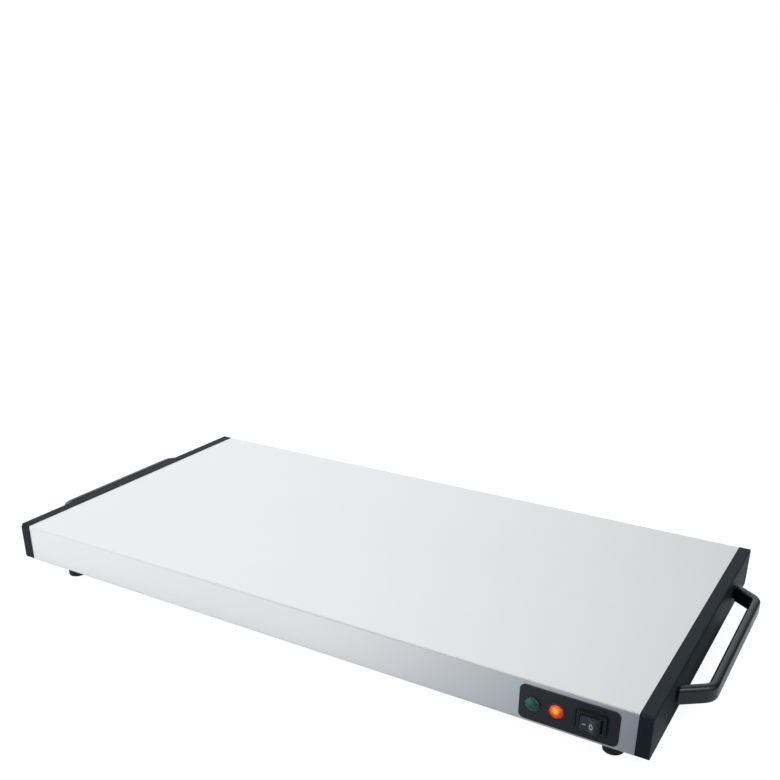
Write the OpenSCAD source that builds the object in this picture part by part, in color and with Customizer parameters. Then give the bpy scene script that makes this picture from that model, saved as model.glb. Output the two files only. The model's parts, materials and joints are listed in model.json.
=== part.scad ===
// Electric food warmer tray: a flat heated aluminium cover between two moulded end caps.
// +X runs along the length with the controls at the right, -Y is the front, +Z is up.
// The origin lies on the surface that the tray stands on, under the middle of the cover.
// All sizes are in millimetres.

/* [Aluminium cover] */
// Length of the cover between the end caps
cover_len = 580; // [540:5:700]
// Depth of the cover, from front face to rear face
cover_depth = 296.5; // [280:0.5:340]
// Height of the cover's sides
side_h = 34.3; // [32.3:0.1:40]
// Thickness of the cover's sheet
cover_t = 1.2; // [0.8:0.1:1.5]
// Outside radius of the cover's folds
fold_r = 1.7; // [1.6:0.1:2.5]
// Width of the lips that turn in under the tray
lip_w = 20; // [19:0.5:28]

/* [End caps] */
// Visible thickness of an end cap
cap_w = 10; // [8.5:0.5:16]
// How far a cap stands proud of the cover, at the top, front and rear
cap_proud = 0.5; // [0.2:0.1:1.2]
// Thickness of a cap's outer wall
cap_wall = 2.5; // [2:0.1:3.5]
// Radius of a cap's four corners, seen from the end
cap_corner_r = 2.6; // [1:0.1:5]
// Radius along the ridge between a cap's top and its outer face
cap_ridge_r = 1.1; // [0.6:0.1:2]
// Width and depth of the groove under that ridge
ridge_groove = 1.2; // [0.5:0.1:1.5]
// Wall of the spigot that enters the cover
spigot_wall = 2.2; // [1.6:0.1:3]
// Distance between a cap's stiffening ribs
rib_pitch = 30; // [26:1:34]
// Thickness of those ribs
rib_t = 1.6; // [1.2:0.1:2.4]

/* [Handles] */
// Half the distance between a handle's legs, at the cap
handle_root_y = 90.3; // [80:0.1:104]
// Reach of the grip's centreline from the cap
handle_reach = 21.2; // [20:0.1:40]
// Width of the bar, seen from above
bar_w = 7.7; // [7:0.1:10]
// Height of the bar
bar_h = 14.5; // [13:0.1:18]
// Edge radius of the bar
bar_r = 3.3; // [2:0.1:3.4]
// Bend radius of the bar's centreline at the grip's ends
bar_bend_r = 11; // [8:0.5:16]
// Height of the bar's centre above the cover's lower edge
handle_rise = 18.7; // [16.3:0.1:19.3]
// Length of the neck between a leg and the cap
neck_len = 2.4; // [1.5:0.1:4]
// Width and height of the tenon that passes through the cap
tenon = [5.6, 11]; // [5:0.1:12]

/* [Feet] */
// Height of the feet under the cover's lower edge
foot_h = 8.7; // [8:0.1:16]
// Radius of a foot
foot_r = 7.7; // [6:0.1:9]
// Distance from a foot's centre to the front or rear face
foot_edge = 12.2; // [11:0.1:14]
// Distance from the left feet to the left end of the cover
foot_left = 43.5; // [30:0.5:90]
// Distance from the right feet to the right end of the cover
foot_right = 17.5; // [16.5:0.5:40]

/* [Control panel] */
// Width of the bezel
bezel_w = 72.4; // [70:0.1:84]
// Height of the bezel
bezel_h = 27.8; // [24:0.1:28]
// Corner radius of the bezel
bezel_r = 4.5; // [2:0.1:8]
// How far the bezel stands proud of the cover
bezel_proud = 0.8; // [0.4:0.1:1.5]
// Distance from the bezel to the right end of the cover
bezel_inset = 11.6; // [10:0.1:30]
// Height of the bezel's centre above the cover's lower edge
bezel_rise = 16.5; // [16.1:0.1:17.3]
// Distance from the bezel's left edge to the green lamp
green_lamp_x = 10.4; // [9:0.1:12]
// Distance from the bezel's left edge to the orange lamp
orange_lamp_x = 28.1; // [27:0.1:30]
// Distance from the bezel's left edge to the switch
switch_x = 53.2; // [50:0.1:56]
// Radius of a lamp's lens
lens_r = 6.1; // [5.9:0.1:7]
// Height of the lens's dome above its flange
lens_dome = 2.6; // [1.5:0.1:3.5]
// Radius of a lamp's barrel
lamp_r = 5.5; // [4.5:0.1:5.7]
// Length of a lamp's barrel behind the bezel's face
lamp_len = 18; // [14:0.5:26]

/* [Rocker switch] */
// Width and height of the switch's frame
switch_frame_size = [20.9, 15.2]; // [14:0.1:24]
// Thickness of that frame in front of the bezel
switch_flange_t = 1.8; // [1.2:0.1:2.5]
// Width of the groove in the bezel round that frame
switch_groove_w = 1.2; // [0.6:0.1:1.6]
// Depth of that groove
switch_groove_t = 0.7; // [0.3:0.1:1]
// Width and height of the switch's body
switch_body_size = [19, 12.8]; // [12:0.1:21]
// Depth of the body behind the bezel's face
switch_depth = 15; // [13:0.5:20]
// Wall of the switch's body above and below the rocker
switch_wall = 1; // [0.8:0.1:1.4]
// Distance from the rocker's pivot to the valley between its wings
rocker_valley = 7; // [6.5:0.1:7.6]
// Length of the rocker's two wings together
rocker_len = 10.8; // [10:0.1:11.6]
// Length of the rocker across its foot, inside the switch
rocker_foot = 14.6; // [13.8:0.1:15.2]
// Slope of each of the rocker's two wings
rocker_wing = 20; // [16:0.5:22]
// Angle that the rocker turns between on and off
rocker_travel = 20; // [14:1:22]
// Depth of the pivot behind the frame's face
pivot_depth = 4.8; // [4.4:0.1:5.4]
// Radius of the rocker's pivot pins
pivot_r = 1.2; // [0.8:0.1:1.5]
// Width of the switch's flat tabs
tab_w = 4.8; // [4:0.1:5.2]
// Thickness of those tabs
tab_t = 0.8; // [0.6:0.1:1]
// How far the tabs stand out behind the switch
tab_out = 7; // [6:0.5:9]

/* [Cord inlet] */
// Distance from the inlet to the right end of the cover
inlet_inset = 46; // [40:0.5:90]
// Height of the inlet above the cover's lower edge
inlet_rise = 16; // [14:0.5:18]
// Radius of the inlet's bore
inlet_bore_r = 3.7; // [3:0.1:4.5]
// Radius of the inlet's threaded body
inlet_body_r = 6; // [5.5:0.1:7]
// Radius of the inlet's flange
inlet_flange_r = 9; // [8.5:0.1:11]
// Thickness of the inlet's flange
inlet_flange_t = 3; // [2:0.1:4]
// Thickness of the inlet's nut
inlet_nut_t = 5; // [4:0.5:7]

/* [Heater] */
// Thickness of each mica sheet
mica_t = 0.5; // [0.4:0.1:0.8]
// Thickness of the heating ribbon
ribbon_t = 0.4; // [0.3:0.1:0.6]
// Width of the heating ribbon
ribbon_w = 3; // [2:0.1:4]
// Distance between the ribbon's runs
ribbon_pitch = 16; // [12:0.5:24]
// Distance from the heater's long edges to the cover's front and rear faces
heater_edge = 20; // [16:0.5:40]
// Distance from the heater to the ends of the cover
heater_end = 30; // [28:0.5:60]
// Thickness of the plate that presses the heater to the cover
pressure_plate_t = 0.8; // [0.6:0.1:1.2]
// Thickness of the insulation under the heater
insulation_t = 6; // [4:0.5:7]
// Distance from the heater's end to its two tags
tag_inset = 5; // [4:0.5:6]
// Distance from those tags to the tray's middle line
tag_y = 24; // [20:0.5:30]
// Radius of the thermostat
thermo_r = 8; // [7:0.1:8.2]
// Distance from the thermostat to the heater's tags
thermo_reach = 90; // [84:1:100]

/* [Underside] */
// Thickness of the bottom plate
plate_t = 0.8; // [0.6:0.1:1.2]
// Radius of the stiffening beads pressed into the bottom plate
bead_r = 3; // [2:0.1:4]
// Distance from the beads to the tray's middle line
bead_y = 62; // [50:1:80]
// Thickness of the cross rails
rail_t = 1; // [0.8:0.1:1.5]
// Width of a rail's top
rail_w = 24; // [16:1:40]
// Width of a rail's flanges
rail_flange = 11; // [9:0.5:16]
// Distance between neighbouring rails
rail_pitch = 140; // [120:5:145]
// Distance from the right rail to the thermostat
rail_reach = 55; // [50:1:60]

/* [Fits] */
// Gap between a moulding and the sheet it slides into
slide_gap = 0.3; // [0.2:0.05:0.5]
// Radial gap of the rocker's pins in their holes
pin_gap = 0.05; // [0.02:0.01:0.1]
// Gap round a part that passes through a hole
hole_gap = 0.15; // [0.1:0.05:0.3]
// Gap round the moving rocker
rocker_gap = 0.35; // [0.3:0.05:0.5]

/* [Fasteners and wiring] */
// Radius of the machine screws under the tray
screw_r = 1.5; // [1.4:0.1:1.7]
// Radius of a handle screw
handle_screw_r = 2; // [1.8:0.1:2.2]
// Thickness of a screw's head
head_t = 1.8; // [1.5:0.1:2.4]
// Width of the nuts, across their corners
nut_w = 6.4; // [6.2:0.1:7]
// Thickness of the nuts
nut_t = 2.4; // [2:0.1:3]
// Radius of the mains leads inside the tray
lead_r = 1.1; // [0.9:0.1:1.3]
// Radius of the lamps' leads
lamp_lead_r = 0.7; // [0.5:0.1:0.8]
// Length, width and height of the terminal block
block_size = [44, 16, 12]; // [11:1:48]
// Distance from the terminal block to the rear face
block_reach = 52; // [46:1:60]
// Distance between the terminal block's poles
pole_pitch = 8.4; // [8:0.1:8.8]
// Distance from the terminal block to the earth screw
earth_reach = 14; // [12:1:24]

/* [Hidden] */
$fn = 48;
eps = 0.01;

// Levels and edges of the housing
front_y = -cover_depth / 2;
rear_y = cover_depth / 2;
end_x = cover_len / 2;
cap_face_x = end_x + cap_w;
base_z = foot_h;
top_z = base_z + side_h;
roof_z = top_z - cover_t;
lip_top = base_z + cover_t;
floor_z = lip_top + plate_t;

far = 2 * cover_depth; // longer than anything that is cut off at one side

// The spigot stops short of the bezel, and the bottom plate short of the spigot
spigot_len = bezel_inset - 2 * slide_gap;
plate_half = end_x - spigot_len - 2 * slide_gap;
spigot_y = cover_depth / 2 - cover_t - slide_gap;
spigot_z0 = lip_top + slide_gap;
spigot_z1 = roof_z - slide_gap;

// Layers of the heater, downwards from the roof
mica_upper_z = roof_z - mica_t;
ribbon_z = mica_upper_z - ribbon_t;
mica_lower_z = ribbon_z - mica_t;
pressure_z = mica_lower_z - pressure_plate_t;
insulation_z = pressure_z - insulation_t;
heater_x = end_x - heater_end;
heater_y = cover_depth / 2 - heater_edge;
mica_tail = 8; // the upper sheet reaches past the tags
ribbon_edge = 5; // from the sheet's long edge to the ribbon's return
run_edge = 12; // from the sheet's edges to the ribbon's runs
tag_x = heater_x + tag_inset;
tag_w = 6;
tag_t = 0.8;
tag_drop = 16;
tag_foot = 4;

// Thermostat, thermal fuse and the window for them in the insulation
thermo_x = tag_x - thermo_reach;
thermo_y = 22;
cup_h = 3.5;
cup_rim = 0.8;
thermo_body_h = 9;
thermo_tab_x = 4.5;
thermo_tab_len = 3;
strap_t = 0.8;
strap_half = 18;
strap_w = 10;
fuse_dx = 12;
fuse_dy = 32;
fuse_x = thermo_x - fuse_dx;
fuse_y = thermo_y - fuse_dy;
fuse_r = 2.1;
fuse_len = 11;
fuse_wire = 8;
fuse_wire_r = 0.6;
clip_t = 0.6;
clip_w = 6;
window = [70, 70];

// Controls
bezel_x0 = end_x - bezel_inset - bezel_w;
bezel_z = base_z + bezel_rise;
bezel_face = front_y - bezel_proud;
bezel_core_t = cover_t + 1.6;
bezel_edge = 1.5;
lamp_x = [bezel_x0 + green_lamp_x, bezel_x0 + orange_lamp_x];
rocker_x = bezel_x0 + switch_x;
switch_face = bezel_face - switch_flange_t;
switch_frame_r = 1.5;
pivot_y = switch_face + pivot_depth;
well_h = switch_body_size[1] - 2 * switch_wall;
rocker_h = well_h - 2 * slide_gap;
rocker_foot_y = 3.6; // half the depth of the rocker's foot
wing_tip = [rocker_len / 2, rocker_valley + rocker_len / 2 * tan(rocker_wing)];
function swing(p) = p[0] * cos(rocker_travel / 2) + p[1] * sin(rocker_travel / 2);
well_w = 2 * (max(swing(wing_tip), swing([rocker_foot / 2, rocker_foot_y])) + rocker_gap);
well_floor_t = 1.6;
tab_x = 5;
tab_z = 3.2;
bulb_r = 2.4;
bulb_len = 9;
bulb_seat = 3;
holder_h = 6;
holder_flange_t = 2;
lens_flange_t = 0.8;
lens_wall = 0.8;

// Places of the feet, the screws and the inner pieces
feet_x = [foot_left - end_x, end_x - foot_right];
feet_y = [front_y + foot_edge, rear_y - foot_edge];
cap_screw_x = end_x - spigot_len / 2;
lip_screw_y = cover_depth / 2 - lip_w / 2;
plate_screw_x = [-cover_len / 4, 0, cover_len / 4];
screw_head_r = 3;
handle_screw_head_r = 4.2;
rails_x = [for (i = [2, 1, 0]) thermo_x - rail_reach - i * rail_pitch];
rail_half = cover_depth / 2 - lip_w - 6;
rail_screw_inset = 12;
rail_screw_y = rail_half - rail_screw_inset;
rail_screw_dx = rail_w / 2 + rail_flange / 2;
inlet_x = end_x - inlet_inset;
inlet_z = base_z + inlet_rise;
foot_edge_r = 1;
flange_edge_r = 1;

// Terminal block, and the earth screw beside it
block_x = inlet_x - 10;
block_y = rear_y - block_reach;
block_base_h = 7.5;
pole_w = 6.8;
pole_z = floor_z + 5.5;
pole_screw_y = 4.5;
barrel_r = 2.6;
barrel_bore = 1.9;
earth_x = block_x - block_size[0] / 2 - earth_reach;
earth_y = block_y;
function pole_x(i) = block_x + (i - 2) * pole_pitch;

// Bosses and pads inside the end caps
boss_r = 4.2;
boss_h = 12;
pad_margin = 3;
pad_t = 1.6;

// Handles
handle_z = base_z + handle_rise;
leg_lean = 3 / 4; // a leg leans in by 3 for every 4 that it reaches out
handle_grip_y = handle_root_y - handle_reach * leg_lean;
bend_turn = 90 - atan(leg_lean);
bend_tangent = bar_bend_r * tan(bend_turn / 2);
grip_half = handle_grip_y - bend_tangent;
tenon_y = handle_root_y - neck_len * leg_lean;
handle_screw_len = cap_wall + pad_t + neck_len - 0.6;

// Ends of the leads, and how far they run straight
lead_gap = 0.15;
block_front = block_y - block_size[1] / 2 - lead_gap;
tab_end = bezel_face + switch_depth + tab_out + lead_gap;
holder_end = bezel_face + lamp_len + holder_flange_t + lead_gap;
lead_sweep = [0, cover_depth / 5, 0];
thermo_sweep = [thermo_reach / 4, 4, -2];
fuse_sweep = [7, 0, 0];
tag_sweep = [-thermo_reach / 3, 0, 0];
function tab_point(x, z) = [rocker_x + x * tab_x, tab_end, bezel_z + z * tab_z];
function pole_point(i, dx) = [pole_x(i) + dx, block_front, pole_z];

// ---- shapes used more than once ----

module rounded_rect(w, h, r) {
    square([w - 2 * r, h], center = true);
    square([w, h - 2 * r], center = true);
    for (x = [-1, 1], y = [-1, 1])
        translate([x * (w / 2 - r), y * (h / 2 - r)]) circle(r = r);
}

// Sweeps an outline drawn in Y and Z along X, from x0 to x1
module along_x(x0, x1) {
    translate([x0, 0, 0]) rotate([90, 0, 90]) linear_extrude(x1 - x0) children();
}

// Sweeps an outline drawn in X and Z along Y, from y0 to y1
module along_y(y0, y1) {
    translate([0, y1, 0]) rotate([90, 0, 0]) linear_extrude(y1 - y0) children();
}

// A pan-head screw that points up, with its flat bearing face at z = 0 and a cross recess in its head
module pan_screw(r, length, head_r, head) {
    difference() {
        rotate_extrude() {
            square([r, length]);
            translate([0, -head]) square([head_r - head / 2, head]);
            intersection() {
                translate([head_r - head / 2, -head / 2]) circle(r = head / 2);
                translate([0, -head]) square([head_r, head]);
            }
            translate([0, -head / 2]) square([head_r, head / 2]);
        }
        for (a = [0, 90])
            rotate([0, 0, a]) translate([-head_r / 2, -r / 4, -head - eps])
                cube([head_r, r / 2, head / 2]);
    }
}

module hex_nut() {
    difference() {
        cylinder(r = nut_w / 2, h = nut_t, $fn = 6);
        translate([0, 0, -eps]) cylinder(r = screw_r + hole_gap, h = nut_t + 2 * eps);
    }
}

function bezier(a, b, c, d, t) =
    a * pow(1 - t, 3) + 3 * b * t * pow(1 - t, 2) + 3 * c * t * t * (1 - t) + d * pow(t, 3);
function unit(v) = v / norm(v);

// A flexible lead between two points, which leaves each one in the direction given there
module lead(start, out_start, finish, out_finish, r) {
    steps = 14;
    sides = 8;
    route = [for (i = [0 : steps])
        bezier(start, start + out_start, finish + out_finish, finish, i / steps)];
    way = [for (i = [0 : steps])
        i == 0 ? unit(out_start) : i == steps ? unit(-out_finish) : unit(route[i + 1] - route[i - 1])];
    points = [for (i = [0 : steps]) let (
            u = unit(cross(way[i], [0.31, 0.17, 1])),
            v = cross(way[i], u))
        for (k = [0 : sides - 1])
            route[i] + r * (cos(360 * k / sides) * u + sin(360 * k / sides) * v)];
    first = [for (k = [0 : sides - 1]) k];
    last = [for (k = [sides - 1 : -1 : 0]) steps * sides + k];
    walls = [for (i = [0 : steps - 1], k = [0 : sides - 1]) let (n = (k + 1) % sides)
        [i * sides + k, (i + 1) * sides + k, (i + 1) * sides + n, i * sides + n]];
    polyhedron(points, concat([first], [last], walls));
}

// ---- housing ----

module cover_outline() {
    mid = base_z + side_h / 2;
    difference() {
        translate([0, mid]) rounded_rect(cover_depth, side_h, fold_r);
        translate([0, mid]) rounded_rect(cover_depth - 2 * cover_t, side_h - 2 * cover_t, fold_r - cover_t);
        translate([lip_w - cover_depth / 2, base_z - 1])
            square([cover_depth - 2 * lip_w, cover_t + 2]);
    }
}

module top_cover() {
    color("gainsboro") difference() {
        along_x(-end_x, end_x) cover_outline();
        along_y(front_y - 1, front_y + cover_t + 1) bezel_core_outline(hole_gap);
        translate([inlet_x, rear_y + 1, inlet_z]) rotate([90, 0, 0])
            cylinder(r = inlet_body_r + hole_gap, h = cover_t + 2);
        screw_holes_in_lips(lip_top);
    }
}

// Holes up through the lips, from below them to the level given
module screw_holes_in_lips(top) {
    r = screw_r + hole_gap;
    for (x = feet_x, y = feet_y) translate([x, y, base_z - 1]) cylinder(r = r, h = top - base_z + 2);
    for (x = plate_screw_x, y = [-1, 1])
        translate([x, y * lip_screw_y, base_z - 1]) cylinder(r = r, h = top - base_z + 2);
    for (x = [-1, 1], y = [-1, 1])
        translate([x * cap_screw_x, y * lip_screw_y, base_z - 1]) cylinder(r = r, h = top - base_z + 2);
}

module bottom_plate_outline() {
    half = cover_depth / 2 - cover_t - 2 * slide_gap;
    difference() {
        union() {
            translate([-half, lip_top]) square([2 * half, plate_t]);
            for (s = [-1, 1]) translate([s * bead_y, lip_top]) circle(r = bead_r);
        }
        for (s = [-1, 1]) translate([s * bead_y, lip_top]) circle(r = bead_r - plate_t);
        translate([-half, lip_top - bead_r - 1]) square([2 * half, bead_r + 1]);
    }
}

module bottom_plate() {
    r = screw_r + hole_gap;
    color("silver") difference() {
        along_x(-plate_half, plate_half) bottom_plate_outline();
        screw_holes_in_lips(floor_z);
        for (x = rails_x, s = [-1, 1])
            translate([x + s * rail_screw_dx, s * rail_screw_y, lip_top - 1])
                cylinder(r = r, h = plate_t + 2);
        translate([earth_x, earth_y, lip_top - 1]) cylinder(r = r, h = plate_t + 2);
    }
}

// The right cap; the left one is its mirror image
module end_cap() {
    wall_x = cap_face_x - cap_wall;
    cap_h = side_h + cap_proud;
    pocket_y = spigot_y - spigot_wall;
    pocket_z0 = spigot_z0 + spigot_wall;
    pocket_z1 = spigot_z1 - spigot_wall;
    difference() {
        union() {
            difference() {
                intersection() {
                    along_x(end_x, cap_face_x)
                        translate([0, base_z + cap_h / 2])
                            rounded_rect(cover_depth + 2 * cap_proud, cap_h, cap_corner_r);
                    along_y(front_y - 1, rear_y + 1) cap_ridge_outline(cap_h);
                }
                translate([end_x - 1, -pocket_y, pocket_z0])
                    cube([wall_x - end_x + 1, 2 * pocket_y, pocket_z1 - pocket_z0]);
            }
            difference() {
                translate([end_x - spigot_len, -spigot_y, spigot_z0])
                    cube([spigot_len + 1, 2 * spigot_y, spigot_z1 - spigot_z0]);
                translate([end_x - spigot_len - 1, -pocket_y, pocket_z0])
                    cube([spigot_len + 3, 2 * pocket_y, pocket_z1 - pocket_z0]);
            }
            for (s = [-1, 1], i = [0 : floor((pocket_y / rib_pitch) - 0.55)])
                translate([end_x, s * (i + 0.5) * rib_pitch - rib_t / 2, pocket_z0 - eps])
                    cube([cap_w - 1, rib_t, pocket_z1 - pocket_z0 + 2 * eps]);
            for (s = [-1, 1]) tenon_pad(s);
            for (s = [-1, 1])
                translate([cap_screw_x, s * lip_screw_y, spigot_z0]) cylinder(r = boss_r, h = boss_h);
        }
        for (s = [-1, 1]) tenon_hole(s);
        for (s = [-1, 1])
            translate([cap_screw_x, s * lip_screw_y, spigot_z0 - 1])
                cylinder(r = screw_r + pin_gap, h = boss_h - 1);
        translate([cap_face_x - ridge_groove, -cover_depth, top_z + cap_proud - cap_ridge_r - ridge_groove])
            cube([2 * ridge_groove, 2 * cover_depth, ridge_groove]);
    }
}

// Side view of a cap, with a rounded ridge at the outer top edge
module cap_ridge_outline(cap_h) {
    difference() {
        translate([end_x - 1, base_z - 1]) square([cap_w + 1, cap_h + 1]);
        translate([cap_face_x - cap_ridge_r, base_z + cap_h - cap_ridge_r]) difference() {
            square(cap_ridge_r + 1);
            circle(r = cap_ridge_r);
        }
    }
}

module tenon_pad(s) {
    x0 = cap_face_x - cap_wall - pad_t;
    along_x(x0, x0 + pad_t + 1) translate([s * tenon_y, handle_z])
        rounded_rect(tenon[0] + 2 * pad_margin, tenon[1] + 2 * pad_margin, pad_margin);
}

module tenon_hole(s) {
    along_x(cap_face_x - cap_wall - pad_t - 1, cap_face_x + 1) translate([s * tenon_y, handle_z])
        rounded_rect(tenon[0] + 2 * hole_gap, tenon[1] + 2 * hole_gap, tenon[0] / 3);
}

module right_end_cap() { color("#2b2e31") end_cap(); }
module left_end_cap() { color("#2b2e31") mirror([1, 0, 0]) end_cap(); }

// ---- handles ----

module bar_section() { rounded_rect(bar_w, bar_h, bar_r); }

// One leg and the bend that leads into the grip, at the rear end of the right handle
module handle_leg() {
    difference() {
        translate([handle_reach - bar_bend_r, grip_half, 0]) {
            intersection() {
                rotate_extrude() translate([bar_bend_r, 0]) bar_section();
                translate([0, 0, -bar_h]) cube([2 * bar_bend_r, 2 * bar_bend_r, 2 * bar_h]);
                rotate([0, 0, bend_turn]) translate([0, -3 * bar_bend_r, -bar_h])
                    cube([2 * bar_bend_r, 3 * bar_bend_r, 2 * bar_h]);
            }
            rotate([0, 0, bend_turn]) translate([bar_bend_r, 0, 0])
                along_y(0, handle_reach * 2) bar_section();
        }
        translate([neck_len - far, 0, -bar_h]) cube([far, far, 2 * bar_h]);
    }
}

module handle_tenon() {
    difference() {
        along_x(-cap_wall - pad_t, neck_len + 0.8)
            translate([tenon_y, 0]) rounded_rect(tenon[0], tenon[1], tenon[0] / 3);
        translate([-cap_wall - pad_t - eps, tenon_y, 0]) rotate([0, 90, 0])
            cylinder(r = handle_screw_r + pin_gap, h = handle_screw_len + 0.5);
    }
}

module handle() {
    translate([cap_face_x, 0, handle_z]) {
        translate([handle_reach, 0, 0]) along_y(-grip_half, grip_half) bar_section();
        for (s = [0, 1]) mirror([0, s, 0]) {
            handle_leg();
            handle_tenon();
        }
    }
}

module right_handle() { color("#1b1d1f") handle(); }
module left_handle() { color("#1b1d1f") mirror([1, 0, 0]) handle(); }

module handle_screws() {
    color("silver") for (side = [0, 1], s = [-1, 1]) mirror([side, 0, 0])
        translate([cap_face_x - cap_wall - pad_t, s * tenon_y, handle_z]) rotate([0, 90, 0])
            pan_screw(handle_screw_r, handle_screw_len, handle_screw_head_r, head_t);
}

// ---- feet and the screws under the tray ----

module foot() {
    recess_r = 4;
    recess_h = foot_h / 2;
    difference() {
        rotate_extrude() {
            difference() {
                square([foot_r, foot_h]);
                translate([foot_r - foot_edge_r, 0]) difference() {
                    translate([0, -foot_edge_r]) square(2 * foot_edge_r);
                    translate([0, foot_edge_r]) circle(r = foot_edge_r);
                }
            }
        }
        translate([0, 0, -1]) cylinder(r = recess_r, h = recess_h + 1);
        cylinder(r = screw_r + hole_gap, h = foot_h + 1);
    }
}

module place_foot(side, depth) {
    color("#161616") translate([feet_x[side], feet_y[depth], 0]) foot();
}
module foot_front_left() { place_foot(0, 0); }
module foot_front_right() { place_foot(1, 0); }
module foot_rear_left() { place_foot(0, 1); }
module foot_rear_right() { place_foot(1, 1); }

module foot_screws() {
    color("silver") for (x = feet_x, y = feet_y)
        translate([x, y, foot_h / 2])
            pan_screw(screw_r, floor_z + nut_t + 0.6 - foot_h / 2, screw_head_r, head_t);
}

module foot_nuts() {
    color("silver") for (x = feet_x, y = feet_y) translate([x, y, floor_z]) hex_nut();
}

module plate_screws() {
    color("silver") for (x = plate_screw_x, y = [-1, 1])
        translate([x, y * lip_screw_y, base_z])
            pan_screw(screw_r, cover_t + plate_t + 4, screw_head_r, head_t);
}

module end_cap_screws() {
    color("silver") for (x = [-1, 1], y = [-1, 1])
        translate([x * cap_screw_x, y * lip_screw_y, base_z])
            pan_screw(screw_r, cover_t + boss_h - 3, screw_head_r, head_t);
}

// ---- heater ----

module upper_mica_sheet() {
    color("tan") translate([-heater_x - mica_tail, -heater_y, mica_upper_z])
        cube([2 * (heater_x + mica_tail), 2 * heater_y, mica_t]);
}

// Back-and-forth ribbon, whose two ends run out to the tags at the right
module heating_ribbon() {
    run_half = heater_y - run_edge;
    return_y = -heater_y + ribbon_edge;
    runs = 2 * floor((heater_x - run_edge) / ribbon_pitch);
    first_x = -runs * ribbon_pitch / 2;
    last_x = first_x + (runs - 1) * ribbon_pitch;
    return_x = last_x + ribbon_pitch / 2;
    ribbon_end = tag_x + tag_foot - 1;
    half = ribbon_w / 2;
    color("#8c8c88") translate([0, 0, ribbon_z]) linear_extrude(ribbon_t) {
        for (i = [0 : runs - 1]) {
            low = i == 0 ? return_y : i == runs - 1 ? tag_y - half : -run_half;
            translate([first_x + i * ribbon_pitch - half, low]) square([ribbon_w, run_half - low]);
        }
        for (i = [0 : runs - 2])
            translate([first_x + i * ribbon_pitch - half, i % 2 == 0 ? run_half - ribbon_w : -run_half])
                square([ribbon_pitch + ribbon_w, ribbon_w]);
        translate([last_x - half, tag_y - half]) square([ribbon_end - last_x + half, ribbon_w]);
        translate([first_x - half, return_y]) square([return_x - first_x + ribbon_w, ribbon_w]);
        translate([return_x - half, return_y]) square([ribbon_w, half - tag_y - return_y]);
        translate([return_x - half, -tag_y - half]) square([ribbon_end - return_x + half, ribbon_w]);
    }
}

module lower_mica_sheet() {
    color("tan") translate([-heater_x, -heater_y, mica_lower_z]) cube([2 * heater_x, 2 * heater_y, mica_t]);
}

module element_tags() {
    color("goldenrod") for (s = [-1, 1]) {
        translate([tag_x, s * tag_y - tag_w / 2, ribbon_z - tag_t]) cube([tag_foot, tag_w, tag_t]);
        translate([tag_x, s * tag_y - tag_w / 2, ribbon_z - tag_drop]) cube([tag_t, tag_w, tag_drop]);
    }
}

module pressure_plate() {
    color("lightgray") translate([-heater_x, -heater_y, pressure_z])
        cube([2 * heater_x, 2 * heater_y, pressure_plate_t]);
}

module insulation_mat() {
    color("khaki") difference() {
        translate([-heater_x, -heater_y, insulation_z]) cube([2 * heater_x, 2 * heater_y, insulation_t]);
        translate([thermo_x - window[0] / 2, (thermo_y + fuse_y) / 2 - window[1] / 2, insulation_z - 1])
            cube([window[0], window[1], insulation_t + 2]);
    }
}

// Hat-section rail between the bottom plate and the insulation
module rail(x) {
    h = insulation_z - floor_z;
    color("silver") translate([x, 0, 0]) difference() {
        along_y(-rail_half, rail_half) {
            translate([-rail_w / 2, insulation_z - rail_t]) square([rail_w, rail_t]);
            for (s = [-1, 1]) {
                translate([s * (rail_w - rail_t) / 2 - rail_t / 2, floor_z]) square([rail_t, h]);
                translate([s * (rail_screw_dx - rail_t / 2) - (rail_flange + rail_t) / 2, floor_z])
                    square([rail_flange + rail_t, rail_t]);
            }
        }
        for (s = [-1, 1])
            translate([s * rail_screw_dx, s * rail_screw_y, floor_z - 1])
                cylinder(r = screw_r + pin_gap, h = rail_t + 2);
        for (s = [-1, 1])
            translate([0, s * bead_y, floor_z - plate_t]) rotate([0, 90, 0])
                cylinder(r = bead_r + slide_gap, h = rail_w + 2 * rail_flange + 2, center = true);
    }
}

module left_rail() { rail(rails_x[0]); }
module middle_rail() { rail(rails_x[1]); }
module right_rail() { rail(rails_x[2]); }

module rail_screws() {
    color("silver") for (x = rails_x, s = [-1, 1])
        translate([x + s * rail_screw_dx, s * rail_screw_y, lip_top])
            pan_screw(screw_r, plate_t + rail_t + 3, screw_head_r, head_t / 2);
}

// ---- thermostat and thermal fuse ----

module thermostat_cup() {
    color("silver") translate([thermo_x, thermo_y, pressure_z - cup_h]) {
        cylinder(r = thermo_r, h = cup_h);
        cylinder(r = thermo_r + cup_rim, h = cup_rim);
    }
}

module thermostat_body() {
    color("#3a2a20") translate([thermo_x, thermo_y, pressure_z - cup_h - thermo_body_h]) difference() {
        cylinder(r = thermo_r - slide_gap, h = thermo_body_h);
        for (s = [-1, 1])
            translate([s * thermo_tab_x - tag_t / 2 - pin_gap, -tag_w / 2 - pin_gap, -eps])
                cube([tag_t + 2 * pin_gap, tag_w + 2 * pin_gap, thermo_tab_len]);
    }
}

module thermostat_tabs() {
    z = pressure_z - cup_h - thermo_body_h - thermo_tab_len;
    color("goldenrod") for (s = [-1, 1])
        translate([thermo_x + s * thermo_tab_x - tag_t / 2, thermo_y - tag_w / 2, z])
            cube([tag_t, tag_w, 2 * thermo_tab_len - eps]);
}

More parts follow.
